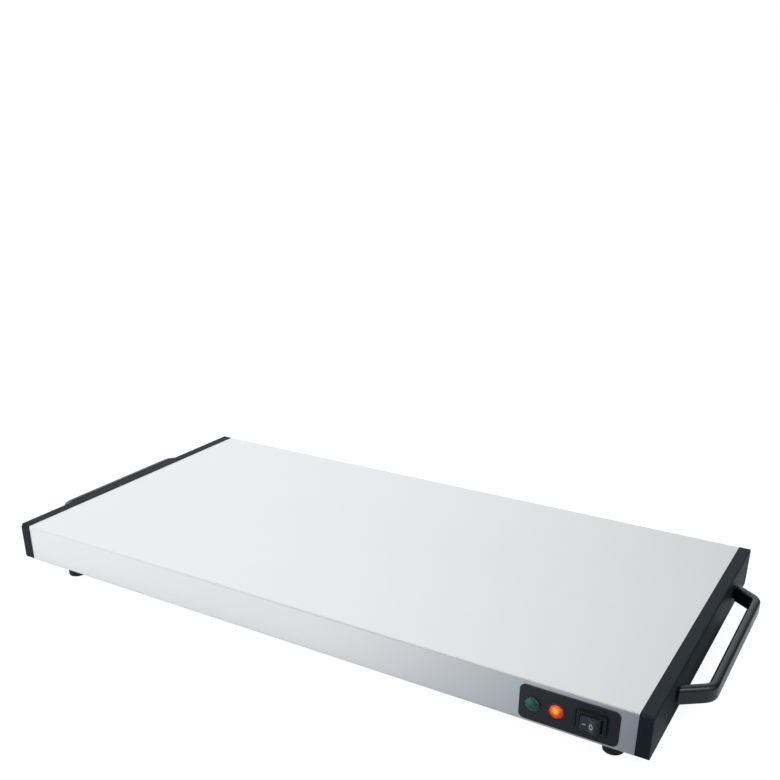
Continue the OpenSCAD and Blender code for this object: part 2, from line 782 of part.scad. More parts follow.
// Flat strap with a round hole, held up by two rivet heads against the pressure plate
module thermostat_strap() {
    rivet_r = strap_w / 4;
    z = pressure_z - cup_h + cup_rim;
    color("lightgray") {
        difference() {
            union() {
                translate([thermo_x - strap_half, thermo_y - strap_w / 2, z])
                    cube([2 * strap_half, strap_w, strap_t]);
                translate([thermo_x, thermo_y, z]) cylinder(r = thermo_r + 3, h = strap_t);
            }
            translate([thermo_x, thermo_y, z - 1]) cylinder(r = thermo_r + hole_gap, h = strap_t + 2);
        }
        for (s = [-1, 1])
            translate([thermo_x + s * (strap_half - 4), thermo_y, z + strap_t - eps])
                cylinder(r = rivet_r, h = pressure_z - z - strap_t + eps);
    }
}

module thermal_fuse() {
    color("ivory") translate([fuse_x, fuse_y, pressure_z - fuse_r]) rotate([0, 90, 0]) {
        cylinder(r = fuse_r, h = fuse_len, center = true);
        cylinder(r = fuse_wire_r, h = fuse_len + 2 * fuse_wire, center = true);
    }
}

// Saddle clip over the fuse, with one ear on each side
module fuse_clip() {
    r0 = fuse_r + pin_gap;
    r1 = r0 + clip_t;
    ear = 6;
    color("silver") translate([fuse_x, fuse_y, pressure_z - fuse_r]) along_x(-clip_w / 2, clip_w / 2) {
        difference() {
            union() {
                circle(r = r1);
                translate([-r1, 0]) square([2 * r1, fuse_r]);
            }
            circle(r = r0);
            translate([-r0, 0]) square([2 * r0, fuse_r + 1]);
        }
        for (s = [-1, 1])
            translate([s * (r1 + ear / 2 - 0.5) - ear / 2, fuse_r - clip_t]) square([ear, clip_t]);
    }
}

// ---- terminal block and earth ----

module terminal_block() {
    color("ivory") difference() {
        translate([0, block_y - block_size[1] / 2, floor_z]) {
            translate([block_x - block_size[0] / 2, 0, 0]) cube([block_size[0], block_size[1], block_base_h]);
            for (i = [0 : 4])
                translate([pole_x(i) - pole_w / 2, 0, 0]) cube([pole_w, block_size[1], block_size[2]]);
        }
        for (i = [0 : 4]) {
            translate([pole_x(i), block_y, pole_z]) rotate([90, 0, 0])
                cylinder(r = barrel_r + pin_gap, h = block_size[1] + 2, center = true);
            for (s = [-1, 1]) translate([pole_x(i), block_y + s * pole_screw_y, pole_z])
                cylinder(r = screw_r + 0.5, h = block_size[2]);
        }
    }
}

module terminal_barrels() {
    color("gold") for (i = [0 : 4])
        translate([pole_x(i), block_y, pole_z]) difference() {
            rotate([90, 0, 0]) cylinder(r = barrel_r, h = block_size[1] - 1, center = true);
            rotate([90, 0, 0]) cylinder(r = barrel_bore, h = block_size[1] + 1, center = true);
            for (s = [-1, 1])
                translate([0, s * pole_screw_y, 0]) cylinder(r = screw_r + pin_gap, h = 2 * barrel_r);
        }
}

module terminal_screws() {
    length = 4.4;
    slot = 0.6;
    color("gold") for (i = [0 : 4], s = [-1, 1])
        translate([pole_x(i), block_y + s * pole_screw_y, pole_z + 1.2]) difference() {
            cylinder(r = screw_r, h = length);
            translate([-screw_r - 1, -slot / 2, length - 0.8]) cube([2 * screw_r + 2, slot, 2]);
        }
}

module earth_screw() {
    color("silver") translate([earth_x, earth_y, lip_top]) {
        pan_screw(screw_r, plate_t + nut_t + 2.4, screw_head_r, head_t / 2);
        translate([0, 0, plate_t + 1]) hex_nut();
    }
}

module earth_tag() {
    eye_r = 4;
    color("goldenrod") translate([earth_x, earth_y, floor_z]) difference() {
        linear_extrude(1) {
            circle(r = eye_r);
            translate([0, -eye_r / 2]) square([2.5 * eye_r, eye_r]);
        }
        translate([0, 0, -1]) cylinder(r = screw_r + hole_gap, h = 3);
    }
}

// ---- control panel ----

module bezel_core_outline(grow) {
    translate([bezel_x0 + bezel_w / 2, bezel_z])
        rounded_rect(bezel_w - 2 * bezel_edge + 2 * grow, bezel_h - 2 * bezel_edge + 2 * grow,
                     bezel_r - bezel_edge + grow);
}

module control_bezel() {
    hook = 1.1;
    hook_w = 6;
    hook_t = bezel_core_t - cover_t - pin_gap;
    hook_inset = 14;
    color("#202226") difference() {
        union() {
            along_y(bezel_face, front_y) translate([bezel_x0 + bezel_w / 2, bezel_z])
                rounded_rect(bezel_w, bezel_h, bezel_r);
            along_y(front_y - eps, front_y + bezel_core_t) bezel_core_outline(0);
            translate([0, front_y + cover_t + pin_gap, bezel_z]) {
                for (x = [hook_inset, bezel_w - hook_inset])
                    translate([bezel_x0 + x - hook_w / 2, 0, bezel_h / 2 - bezel_edge - hook])
                        cube([hook_w, hook_t, 2 * hook]);
                for (x = [bezel_edge, bezel_w - bezel_edge])
                    translate([bezel_x0 + x - hook, 0, -hook_w / 2]) cube([2 * hook, hook_t, hook_w]);
            }
        }
        for (x = lamp_x) translate([x, front_y + lamp_len, bezel_z]) rotate([90, 0, 0])
            cylinder(r = lamp_r + hole_gap, h = 2 * lamp_len);
        along_y(front_y - lamp_len, front_y + lamp_len) translate([rocker_x, bezel_z])
            square([switch_body_size[0] + 2 * hole_gap, switch_body_size[1] + 2 * hole_gap], center = true);
        along_y(bezel_face - 1, bezel_face + switch_groove_t) translate([rocker_x, bezel_z]) difference() {
            switch_frame_outline(switch_groove_w);
            switch_frame_outline(0);
        }
    }
}

// Pilot lamp's lens: a shallow dome on a flange, with a thin barrel through the bezel
module lens(x) {
    dome_edge = lens_r - 0.6;
    dome_r = (pow(dome_edge, 2) + pow(lens_dome, 2)) / (2 * lens_dome);
    translate([x, bezel_face, bezel_z]) rotate([90, 0, 0]) rotate_extrude() {
        difference() {
            union() {
                translate([0, lens_flange_t]) intersection() {
                    translate([0, lens_dome - dome_r]) circle(r = dome_r);
                    square([lens_r, lens_dome + 1]);
                }
                square([lens_r, lens_flange_t]);
                translate([0, -lamp_len]) square([lamp_r, lamp_len + eps]);
            }
            translate([0, -lamp_len - 1]) square([lamp_r - lens_wall, lamp_len + 1 + lens_flange_t]);
            translate([-far, -far / 2]) square([far, far]);
        }
    }
}

module green_lamp_lens() { color("#0f6b5c", 0.9) lens(lamp_x[0]); }
module orange_lamp_lens() { color("#ff7a14", 0.9) lens(lamp_x[1]); }

module lamp_holders() {
    color("#202226") for (x = lamp_x)
        translate([x, bezel_face + lamp_len, bezel_z]) rotate([90, 0, 0]) difference() {
            union() {
                cylinder(r = lamp_r - lens_wall - pin_gap, h = holder_h);
                translate([0, 0, -holder_flange_t]) cylinder(r = lamp_r, h = holder_flange_t);
            }
            translate([0, 0, bulb_seat]) cylinder(r = bulb_r + pin_gap, h = holder_h);
        }
}

module lamp_bulbs() {
    color("white") for (x = lamp_x)
        translate([x, bezel_face + lamp_len - bulb_seat - pin_gap, bezel_z]) rotate([90, 0, 0]) {
            cylinder(r = bulb_r, h = bulb_len);
            translate([0, 0, bulb_len]) sphere(r = bulb_r);
        }
}

// Spring washers that hold the lamps against the back of the bezel
module lamp_clips() {
    washer_t = 0.6;
    slot = [1.8, 1.2];
    color("silver") for (x = lamp_x)
        translate([x, front_y + bezel_core_t + washer_t, bezel_z]) rotate([90, 0, 0]) difference() {
            cylinder(r = lamp_r + 2.6, h = washer_t);
            translate([0, 0, -1]) cylinder(r = lamp_r + pin_gap, h = washer_t + 2);
            for (a = [0 : 60 : 300])
                rotate([0, 0, a]) translate([lamp_r - 0.5, -slot[1] / 2, -1])
                    cube([slot[0], slot[1], washer_t + 2]);
        }
}

// ---- rocker switch, mounted with its long side level, so that its pivot is upright ----

module switch_frame_outline(grow) {
    rounded_rect(switch_frame_size[0] + 2 * grow, switch_frame_size[1] + 2 * grow, switch_frame_r + grow);
}

module switch_frame() {
    back_y = bezel_face + switch_depth;
    color("#17191b") difference() {
        union() {
            along_y(switch_face, bezel_face) translate([rocker_x, bezel_z])
                switch_frame_outline(0);
            along_y(bezel_face - eps, back_y)
                translate([rocker_x, bezel_z]) square(switch_body_size, center = true);
        }
        along_y(switch_face - 1, back_y - well_floor_t)
            translate([rocker_x, bezel_z]) square([well_w, well_h], center = true);
        translate([rocker_x, pivot_y, bezel_z])
            cylinder(r = pivot_r + pin_gap, h = 2 * switch_body_size[1], center = true);
        for (x = [-1, 1], z = [-1, 1])
            along_y(back_y - well_floor_t - 1, back_y + 1)
                translate([rocker_x + x * tab_x, bezel_z + z * tab_z])
                    square([tab_w + 2 * pin_gap, tab_t + 2 * pin_gap], center = true);
    }
}

module switch_tabs() {
    y0 = bezel_face + switch_depth - 2 * well_floor_t;
    color("goldenrod") for (x = [-1, 1], z = [-1, 1])
        along_y(y0, bezel_face + switch_depth + tab_out)
            translate([rocker_x + x * tab_x, bezel_z + z * tab_z]) square([tab_w, tab_t], center = true);
}

// Plan of the rocker about its pivot, with the finger side towards -Y
module rocker_outline() {
    foot_x = rocker_foot / 2;
    polygon([
        [0, -rocker_valley], [wing_tip[0], -wing_tip[1]],
        [foot_x, -rocker_foot_y], [foot_x, rocker_foot_y],
        [-foot_x, rocker_foot_y], [-foot_x, -rocker_foot_y],
        [-wing_tip[0], -wing_tip[1]]
    ]);
}

// The rocker rests in its on position: the left wing is pressed in
module switch_rocker() {
    hollow = [10, 2.4];
    cam = [2.4, 6.5, 5];
    color("#2a2c2f") translate([rocker_x, pivot_y, bezel_z]) rotate([0, 0, -rocker_travel / 2]) {
        difference() {
            translate([0, 0, -rocker_h / 2]) linear_extrude(rocker_h) rocker_outline();
            translate([0, rocker_foot_y, 0]) cube([hollow[0], hollow[1], rocker_h - 3], center = true);
        }
        cylinder(r = pivot_r, h = well_h + 2 * switch_wall - 0.4, center = true);
        translate([-cam[0] / 2, 0, -cam[2] / 2]) cube(cam);
    }
}

// ---- cord inlet in the rear wall ----

module cord_inlet() {
    length = inlet_flange_t + cover_t + inlet_nut_t + 1;
    color("#17191b") translate([inlet_x, rear_y + inlet_flange_t, inlet_z]) rotate([90, 0, 0]) difference() {
        rotate_extrude() {
            difference() {
                square([inlet_flange_r, inlet_flange_t]);
                translate([inlet_flange_r - flange_edge_r, flange_edge_r]) difference() {
                    translate([0, -2 * flange_edge_r]) square(2 * flange_edge_r);
                    circle(r = flange_edge_r);
                }
            }
            square([inlet_body_r, length]);
        }
        translate([0, 0, -1]) cylinder(r = inlet_bore_r, h = length + 2);
    }
}

module inlet_nut() {
    color("#17191b") translate([inlet_x, rear_y - cover_t, inlet_z]) rotate([90, 0, 0]) difference() {
        cylinder(r = inlet_flange_r, h = inlet_nut_t, $fn = 6);
        translate([0, 0, -1]) cylinder(r = inlet_body_r + pin_gap, h = inlet_nut_t + 2);
    }
}

// ---- leads inside the tray ----

// Between the switch's four tabs and the terminal block
module supply_leads() {
    pair = lead_r + lead_gap;
    color("saddlebrown") {
        lead(tab_point(-1, 1), lead_sweep, pole_point(2, pair - lead_gap), -lead_sweep, lead_r);
        lead(tab_point(-1, -1), lead_sweep, pole_point(3, 0), -lead_sweep, lead_r);
        lead(tab_point(1, -1), lead_sweep, pole_point(4, -pair), -lead_sweep, lead_r);
        lead(tab_point(1, 1), lead_sweep, pole_point(4, pair), -lead_sweep, lead_r);
    }
}

// From the thermostat and the fuse to the heater's tags
module heater_leads() {
    thermo_z = pressure_z - cup_h - thermo_body_h - thermo_tab_len - lead_gap - lead_r;
    fuse_end = fuse_x + fuse_len / 2 + fuse_wire + lead_gap;
    tag_z = ribbon_z - tag_drop + 2;
    color("firebrick") {
        lead([thermo_x + thermo_tab_x, thermo_y, thermo_z], thermo_sweep,
             [tag_x - lead_gap, tag_y, tag_z], tag_sweep, lead_r);
        lead([fuse_end, fuse_y, pressure_z - fuse_r], fuse_sweep,
             [tag_x - lead_gap, -tag_y, tag_z], tag_sweep, lead_r);
    }
}

// Two leads from each lamp; the lamps' inner leads share a pole
module lamp_leads() {
    pair = lamp_lead_r + lead_gap;
    dx = lamp_r * 0.4;
    color("white") for (side = [0, 1]) {
        lead([lamp_x[0] + (2 * side - 1) * dx, holder_end, bezel_z], lead_sweep,
             pole_point(side, -side * pair), -lead_sweep, lamp_lead_r);
        lead([lamp_x[1] + (2 * side - 1) * dx, holder_end, bezel_z], lead_sweep,
             pole_point(1 + side, side == 0 ? pair : -pair - lead_gap), -lead_sweep, lamp_lead_r);
    }
}

top_cover();
bottom_plate();
left_end_cap();
right_end_cap();
left_handle();
right_handle();
handle_screws();
end_cap_screws();
plate_screws();
foot_front_left();
foot_front_right();
foot_rear_left();
foot_rear_right();
foot_screws();
foot_nuts();
upper_mica_sheet();
heating_ribbon();
lower_mica_sheet();
element_tags();
pressure_plate();
insulation_mat();
left_rail();
middle_rail();
right_rail();
rail_screws();
thermostat_body();
thermostat_cup();
thermostat_strap();
thermostat_tabs();
thermal_fuse();
fuse_clip();
terminal_block();
terminal_barrels();
terminal_screws();
earth_screw();
earth_tag();
control_bezel();
green_lamp_lens();
orange_lamp_lens();
lamp_holders();
lamp_bulbs();
lamp_clips();
switch_frame();
switch_rocker();
switch_tabs();
cord_inlet();
inlet_nut();
supply_leads();
heater_leads();
lamp_leads();
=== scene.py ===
# The looks of an electric food warmer tray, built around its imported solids.
import json
import math
import bmesh
import bpy
from mathutils import Matrix, Vector


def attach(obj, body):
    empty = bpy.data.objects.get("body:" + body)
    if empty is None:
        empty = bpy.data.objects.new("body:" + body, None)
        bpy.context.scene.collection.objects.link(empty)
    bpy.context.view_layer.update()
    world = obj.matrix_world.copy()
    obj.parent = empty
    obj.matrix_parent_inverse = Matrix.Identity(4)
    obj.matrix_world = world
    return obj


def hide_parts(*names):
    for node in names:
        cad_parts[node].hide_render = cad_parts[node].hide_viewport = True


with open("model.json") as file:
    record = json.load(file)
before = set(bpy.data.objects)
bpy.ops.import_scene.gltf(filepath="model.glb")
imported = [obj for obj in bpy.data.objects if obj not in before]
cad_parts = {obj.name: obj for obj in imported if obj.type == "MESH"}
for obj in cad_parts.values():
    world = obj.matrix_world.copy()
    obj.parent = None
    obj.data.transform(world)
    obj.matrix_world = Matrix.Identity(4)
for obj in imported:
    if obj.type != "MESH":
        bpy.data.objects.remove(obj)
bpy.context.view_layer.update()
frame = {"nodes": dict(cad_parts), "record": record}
print("frame loaded:", len(frame["nodes"]), "nodes")


def toMetres(*millimetres):
    return tuple(value / 1000 for value in millimetres)


def linearColour(hexColour):  # sRGB hex to the linear values that a shader takes
    parts = [int(hexColour[i:i + 2], 16) / 255 for i in (1, 3, 5)]
    return tuple(c / 12.92 if c <= 0.04045 else ((c + 0.055) / 1.055) ** 2.4 for c in parts) + (1.0,)


def addNode(tree, kind, links=None, **settings):
    # links gives each socket, by name or number, its value or the output that feeds it. A Mix of colours has
    # its share in socket 0, its colours in 6 and 7 and the result in output 2.
    node = tree.nodes.new("ShaderNode" + kind)
    for name, value in settings.items():
        setattr(node, name, value)
    for socket, value in (links or {}).items():
        if isinstance(value, bpy.types.NodeSocket):
            tree.links.new(value, node.inputs[socket])
        else:
            node.inputs[socket].default_value = value
    return node


def startMaterial(name, **shaderValues):  # underscores in the names stand for spaces
    material = bpy.data.materials.new(name)
    material.use_nodes = True
    tree = material.node_tree
    shader = tree.nodes["Principled BSDF"]
    for key, value in shaderValues.items():
        shader.inputs[key.replace("_", " ")].default_value = value
    return material, tree, shader


def patternPlace(tree, grainMm):
    # Object coordinates in which one unit of a pattern is grainMm long along x, y and z
    place = addNode(tree, "TexCoord")
    scale = tuple(1000 / size for size in grainMm)
    return addNode(tree, "Mapping", {"Vector": place.outputs["Object"], "Scale": scale}).outputs["Vector"]


cameraView = {
    "place": (408.3, -674.5, 407.8),  # mm
    "turnDegrees": (64.947, -0.268, 30.464),
    "focalPixels": 949.95,  # the focal length, in pixels of the picture
    "axisPixel": (390.0, 540.0),  # where the lens axis meets the picture
    "imagePixels": 780,
    "sensor": 36.0,
    "clip": (0.02, 200),  # metres
}


def makeCamera(view):
    data = bpy.data.cameras.new("camera")
    data.sensor_width = view["sensor"]
    data.lens = view["focalPixels"] / view["imagePixels"] * view["sensor"]
    middle = view["imagePixels"] / 2
    data.shift_x = (middle - view["axisPixel"][0]) / view["imagePixels"]
    data.shift_y = (view["axisPixel"][1] - middle) / view["imagePixels"]
    data.clip_start, data.clip_end = view["clip"]
    camera = bpy.data.objects.new("camera", data)
    camera.location = toMetres(*view["place"])
    camera.rotation_euler = [math.radians(angle) for angle in view["turnDegrees"]]
    bpy.context.scene.collection.objects.link(camera)
    bpy.context.scene.camera = camera


# Lengths in metres. The camera sees a white floor and a white room. What the tray mirrors is set apart.
studio = {
    "floorRadius": 40.0,
    "floorSides": 96,
    "floorDrop": 0.0002,  # the floor lies a hair under the feet, so that they don't flicker into it
    # seamless paper, calendered: matt white, with a faint unevenness where its fibres lie
    "floorColour": "#f4f5f6",
    "fibre": (3.0, 3.0, 3.0),  # mm, drawn coarser than real fibres so that they show
    "fibreBump": (0.1, 0.0001),  # strength and depth
    "floorShare": 0.25,  # the part of the paper's look that the lamps give; the rest is its own glow
    "floorGlow": 0.92,
    # painted light: what the tray mirrors of the paper is a glow, painted brightest at the left and painted
    # into shade in front of the right end
    "paperGlow": 1.13,
    "paintedShadeTint": "#c6e2fc",  # the tint of the painted shade
    "paperSpan": (-0.28, 0.3),  # where along the tray the paper's glow is painted a little darker
    "paperFall": (1.0, 0.76),
    "paintedShadeSpan": (-0.02, 0.485),  # where along the tray the painted shade comes
    "paintedShadeFront": (0.13, 0.17),  # how far in front of the tray's middle the painted shade begins
    "paintedShadeShare": (0.2, 1.0),  # the painted shade's share behind that line and in front of it
    "farSpan": (0.37, 0.55),  # where at the right the paper's glow is painted down to dark
    "paintedShadows": {  # painted shadow of the tray and of its handles on the paper's mirrored glow: half sizes, reach of the edge, and light that is left
        "tray": ((0.3, 0.148), 0.02, 0.5),
        "handles": ((0.326, 0.08), 0.02, 0.15),
    },
    # the room round the tray: a lit sweep behind it, strongest at the left, which dims towards the front
    "wallSide": (-0.8, 0.45, 0.35),
    "wallSpan": (-0.1, 1.15),
    "wallLight": (0.07, 1.3),
    "roomSide": (0.0, 0.5, 0.85),
    "roomSpan": (0.15, 0.6),
    "roomLight": (0.35, 1.0),
    "fillSide": (0.75, -0.3, 0.6),  # a lit wall in front at the right
    "fillSpan": (0.6, 1.0),
    "fillLight": (0.0, 1.0),
    "frontSide": (-1.0, -0.55, 0.1),  # a lit wall in front at the left, which the cover's front bend mirrors
    "frontSpan": (0.66, 0.9),
    "frontLight": (0.0, 1.0),
    "lights": {  # place, aim, width and height, then watts and colour
        "topSoftbox": ((-0.1, -0.85, 1.35), (0.0, -0.1, 0.0), 1.3, 0.35, 2, "#ffffff"),
        "rightSoftbox": ((1.3, -0.45, 1.25), (0.3, -0.1, 0.0), 0.7, 0.7, 4, "#eaf2ff"),
    },
}


def sideValue(tree, vector, side, span, light):
    # Light that runs smoothly from one value to another along a direction
    along = addNode(tree, "VectorMath", {0: vector, 1: Vector(side).normalized()}, operation="DOT_PRODUCT")
    node = addNode(tree, "MapRange", {"Value": along.outputs["Value"], "From Min": span[0],
                                      "From Max": span[1], "To Min": light[0], "To Max": light[1]},
                   interpolation_type="SMOOTHSTEP")
    return node.outputs["Result"]


plainNoise = {"Scale": 1.0}  # the place already has the pattern's size
deepNoise = {"Scale": 1.0, "Detail": 3.0}  # one more layer of fine detail


def makeFloor(settings):
    material = bpy.data.materials.new("whitePaperSweep")
    material.use_nodes = True
    tree = material.node_tree
    tree.nodes.clear()
    ray = addNode(tree, "LightPath")
    place = addNode(tree, "TexCoord").outputs["Object"]
    fibre = addNode(tree, "TexNoise", {"Vector": patternPlace(tree, settings["fibre"]), **deepNoise})
    strength, distance = settings["fibreBump"]
    bump = addNode(tree, "Bump", {"Height": fibre.outputs["Fac"], "Strength": strength, "Distance": distance})
    paper = addNode(tree, "BsdfDiffuse", {"Color": linearColour(settings["floorColour"]),
                                          "Normal": bump.outputs["Normal"]})
    glow = addNode(tree, "Emission", {"Strength": settings["floorGlow"] / settings["floorShare"]})
    bright = addNode(tree, "AddShader", {0: paper.outputs[0], 1: glow.outputs[0]})
    empty = addNode(tree, "Emission", {"Strength": 0.0})
    seen = addNode(tree, "MixShader", {0: settings["floorShare"], 1: empty.outputs[0],
                                       2: bright.outputs[0]})
    # painted light: the paper's mirrored glow is painted darker towards the right, into painted shade in
    # front of the right end, and down to dark far to the right
    side = sideValue(tree, place, (1, 0, 0), settings["paintedShadeSpan"], (0.0, 1.0))
    paintedShade = sideValue(tree, place, (0, -1, 0), settings["paintedShadeFront"], settings["paintedShadeShare"])
    far = sideValue(tree, place, (1, 0, 0), settings["farSpan"], (0.0, 1.0))
    under = addNode(tree, "Math", {0: side, 1: paintedShade}, operation="MULTIPLY").outputs[0]
    taken = addNode(tree, "Math", {0: under, 1: far}, operation="MAXIMUM").outputs[0]
    paintedGlow = addNode(tree, "MapRange", {"Value": taken, "To Min": settings["paperGlow"],
                                           "To Max": 0.0}).outputs[0]
    axes = addNode(tree, "SeparateXYZ", {0: place}).outputs
    (spanLow, spanHigh), (fallLow, fallHigh) = settings["paperSpan"], settings["paperFall"]
    fall = addNode(tree, "MapRange", {"Value": axes[0], "From Min": spanLow, "From Max": spanHigh,
                                      "To Min": fallLow, "To Max": fallHigh}).outputs[0]
    light = addNode(tree, "Math", {0: paintedGlow, 1: fall}, operation="MULTIPLY").outputs[0]
    # painted shadow: the mirrored glow is dimmed round the footprints of the tray and its handles
    for halves, reach, least in settings["paintedShadows"].values():
        past = []
        for axis, half in zip(axes, halves):
            size = addNode(tree, "Math", {0: axis}, operation="ABSOLUTE").outputs[0]
            past.append(addNode(tree, "Math", {0: size, 1: half}, operation="SUBTRACT").outputs[0])
        away = addNode(tree, "Math", {0: past[0], 1: past[1]}, operation="MAXIMUM").outputs[0]
        shade = addNode(tree, "MapRange", {"Value": away, "From Min": -reach / 2, "From Max": reach,
                                           "To Min": least}).outputs[0]
        light = addNode(tree, "Math", {0: light, 1: shade}, operation="MULTIPLY").outputs[0]
    # the painted shade is tinted blue
    tint = addNode(tree, "Mix", {0: taken, 6: (1, 1, 1, 1), 7: linearColour(settings["paintedShadeTint"])},
                   data_type="RGBA")
    mirrored = addNode(tree, "Emission", {"Color": tint.outputs[2], "Strength": light})
    both = addNode(tree, "MixShader", {0: ray.outputs["Is Camera Ray"], 1: mirrored.outputs[0],
                                       2: seen.outputs[0]})
    addNode(tree, "OutputMaterial", {"Surface": both.outputs[0]})
    shape = bmesh.new()
    bmesh.ops.create_circle(shape, cap_ends=True, segments=settings["floorSides"],
                            radius=settings["floorRadius"])
    bmesh.ops.translate(shape, verts=shape.verts, vec=(0, 0, -settings["floorDrop"]))
    mesh = bpy.data.meshes.new("floor")
    shape.to_mesh(mesh)
    shape.free()
    mesh.materials.append(material)
    floor = bpy.data.objects.new("floor", mesh)
    bpy.context.scene.collection.objects.link(floor)


def makeWorld(settings):
    world = bpy.data.worlds.new("studio")
    bpy.context.scene.world = world
    world.use_nodes = True
    tree = world.node_tree
    ray = addNode(tree, "LightPath")
    direction = addNode(tree, "TexCoord").outputs["Generated"]
    wall, room, fill, front = [
        sideValue(tree, direction, settings[name + "Side"], settings[name + "Span"], settings[name + "Light"])
        for name in ("wall", "room", "fill", "front")]
    cards = addNode(tree, "Math", {0: fill, 1: front}, operation="ADD")
    both = addNode(tree, "Math", {0: wall, 1: room, 2: cards.outputs[0]}, operation="MULTIPLY_ADD")
    strength = addNode(tree, "Mix", {0: ray.outputs["Is Camera Ray"], 2: both.outputs[0], 3: 1.0})
    tree.links.new(strength.outputs[0], tree.nodes["Background"].inputs["Strength"])
    tree.nodes["Background"].inputs["Color"].default_value = (1, 1, 1, 1)


def makeLights(settings):
    for name, (place, aim, width, height, watts, colour) in settings["lights"].items():
        data = bpy.data.lights.new(name, "AREA")
        data.shape = "RECTANGLE"
        data.size = width
        data.size_y = height
        data.energy = watts
        data.color = linearColour(colour)[:3]
        light = bpy.data.objects.new(name, data)
        light.location = place
        light.rotation_euler = (Vector(place) - Vector(aim)).to_track_quat("Z", "Y").to_euler()
        light.visible_camera = False
        bpy.context.scene.collection.objects.link(light)


bpy.context.scene.view_settings.view_transform = "Standard"
makeCamera(cameraView)
makeFloor(studio)
makeWorld(studio)
makeLights(studio)
print("camera, floor and light made")


noiseWide = {"From Min": 0.3, "From Max": 0.7}  # where nearly all of a noise's values lie
noiseCore = {"From Min": 0.38, "From Max": 0.62}  # a narrower middle, which gives a stronger pattern
flakeSpan = {"From Min": 0.1, "From Max": 0.6, "To Min": 1.0, "To Max": 0.0}  # a flake's middle to its rim
crispGrain = 0.6  # how strong the finest marks of a grain are


def dressShader(tree, shader, settings, tone, gloss, height, depthMm):
    # tone runs from dark to light, gloss over the span of roughness, and height lifts the surface
    colour = addNode(tree, "Mix", {0: tone, 6: linearColour(settings["dark"]),
                                   7: linearColour(settings["light"])}, data_type="RGBA")
    low, high = settings["rough"]
    rough = addNode(tree, "MapRange", {"Value": gloss, "To Min": low, "To Max": high})
    bump = addNode(tree, "Bump", {"Height": height, "Strength": settings["bump"], "Distance": depthMm / 1000})
    tree.links.new(colour.outputs[2], shader.inputs["Base Color"])
    tree.links.new(rough.outputs["Result"], shader.inputs["Roughness"])
    tree.links.new(bump.outputs["Normal"], shader.inputs["Normal"])


grainDepth = {"metal": 0.02, "board": 0.1}  # mm


def makeMetal(name, settings):
    # A metal's sheen comes from its fine marks: long where it was rolled or drawn, round where it was plated
    material, tree, shader = startMaterial(name, Metallic=1.0)
    grain = addNode(tree, "TexNoise", {"Vector": patternPlace(tree, settings["grain"]), **deepNoise,
                                       "Roughness": crispGrain}).outputs["Fac"]
    cloud = addNode(tree, "TexNoise", {"Vector": patternPlace(tree, settings["cloud"]), **plainNoise})
    both = addNode(tree, "Math", {0: grain, 1: cloud.outputs["Fac"]}, operation="ADD").outputs[0]
    middle = addNode(tree, "Math", {0: both, 1: 0.5}, operation="MULTIPLY").outputs[0]
    tone = addNode(tree, "MapRange", {"Value": middle, **noiseCore}).outputs["Result"]
    dressShader(tree, shader, settings, tone, tone, grain, grainDepth["metal"])
    return material


def makeSpangled(name, settings):
    # Dipped zinc sets in flat crystals, and each has its own brightness and gloss
    material, tree, shader = startMaterial(name, Metallic=1.0)
    crystals = addNode(tree, "TexVoronoi", {"Vector": patternPlace(tree, settings["crystal"]), **plainNoise},
                       feature="F1")
    each = addNode(tree, "SeparateColor", {0: crystals.outputs["Color"]}).outputs
    grain = addNode(tree, "TexNoise", {"Vector": patternPlace(tree, settings["grain"]), **plainNoise})
    dressShader(tree, shader, settings, each[0], each[1], grain.outputs["Fac"], grainDepth["metal"])
    return material


glossClouds = (24.0, 24.0, 24.0)  # mm, how far apart the faint clouds of gloss on a moulding are


def makeMoulded(name, settings):
    # The eroded mould leaves a fine even texture, and the melt faint clouds of gloss
    material, tree, shader = startMaterial(name, IOR=settings["ior"], Specular_IOR_Level=settings["gloss"])
    cloud = addNode(tree, "TexNoise", {"Vector": patternPlace(tree, glossClouds), **deepNoise})
    grain = addNode(tree, "TexNoise", {"Vector": patternPlace(tree, (settings["grain"],) * 3), **plainNoise,
                                       "Roughness": crispGrain}).outputs["Fac"]
    speck = addNode(tree, "MapRange", {"Value": grain, **noiseWide}).outputs["Result"]
    sheen = addNode(tree, "MapRange", {"Value": cloud.outputs["Fac"], **noiseWide}).outputs["Result"]
    dressShader(tree, shader, settings, speck, sheen, grain, settings["depth"])
    return material


def makeBoard(name, settings):
    # Pale bodies with flakes, fibres or grains of a second colour
    material, tree, shader = startMaterial(name, IOR=settings["ior"])
    place = patternPlace(tree, settings["flake"])
    flakes = addNode(tree, "TexVoronoi", {"Vector": place, **plainNoise})
    tone = addNode(tree, "MapRange", {"Value": flakes.outputs["Distance"], **flakeSpan}).outputs["Result"]
    grain = addNode(tree, "TexNoise", {"Vector": place, **deepNoise}).outputs["Fac"]
    sheen = addNode(tree, "MapRange", {"Value": grain, **noiseWide}).outputs["Result"]
    dressShader(tree, shader, settings, tone, sheen, grain, grainDepth["board"])
    return material


